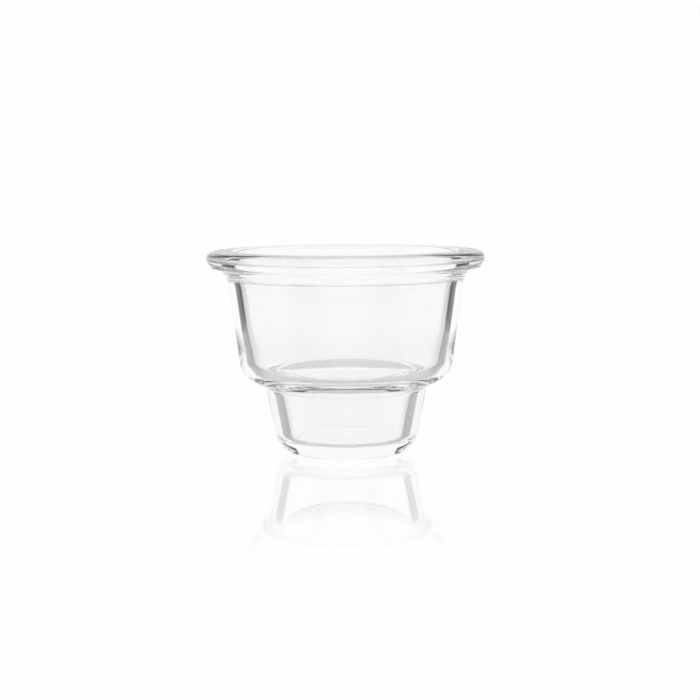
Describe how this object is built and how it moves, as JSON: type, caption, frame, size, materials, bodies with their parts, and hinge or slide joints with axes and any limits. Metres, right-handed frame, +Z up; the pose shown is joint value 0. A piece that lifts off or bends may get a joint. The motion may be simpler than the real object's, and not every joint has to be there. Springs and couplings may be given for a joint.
{
  "type": "desiccator base",
  "caption": "Clear pressed glass vessel: wide tapered chamber over a narrower cup, with an inside ledge for a plate and a broad flat ground flange round the mouth.",
  "frame": {"origin": "centre of the underside, where the vessel stands", "axes": "+Z up along the vessel's axis of revolution, +X to the right and -Y towards the viewer in a front view"},
  "size_m": [0.153, 0.153, 0.1106],
  "materials": {
    "clear_glass": "clear, fire polished; flange face finely ground"
  },
  "bodies": {
    "root": {"desiccator_base": "clear_glass"}
  },
  "joints": []
}
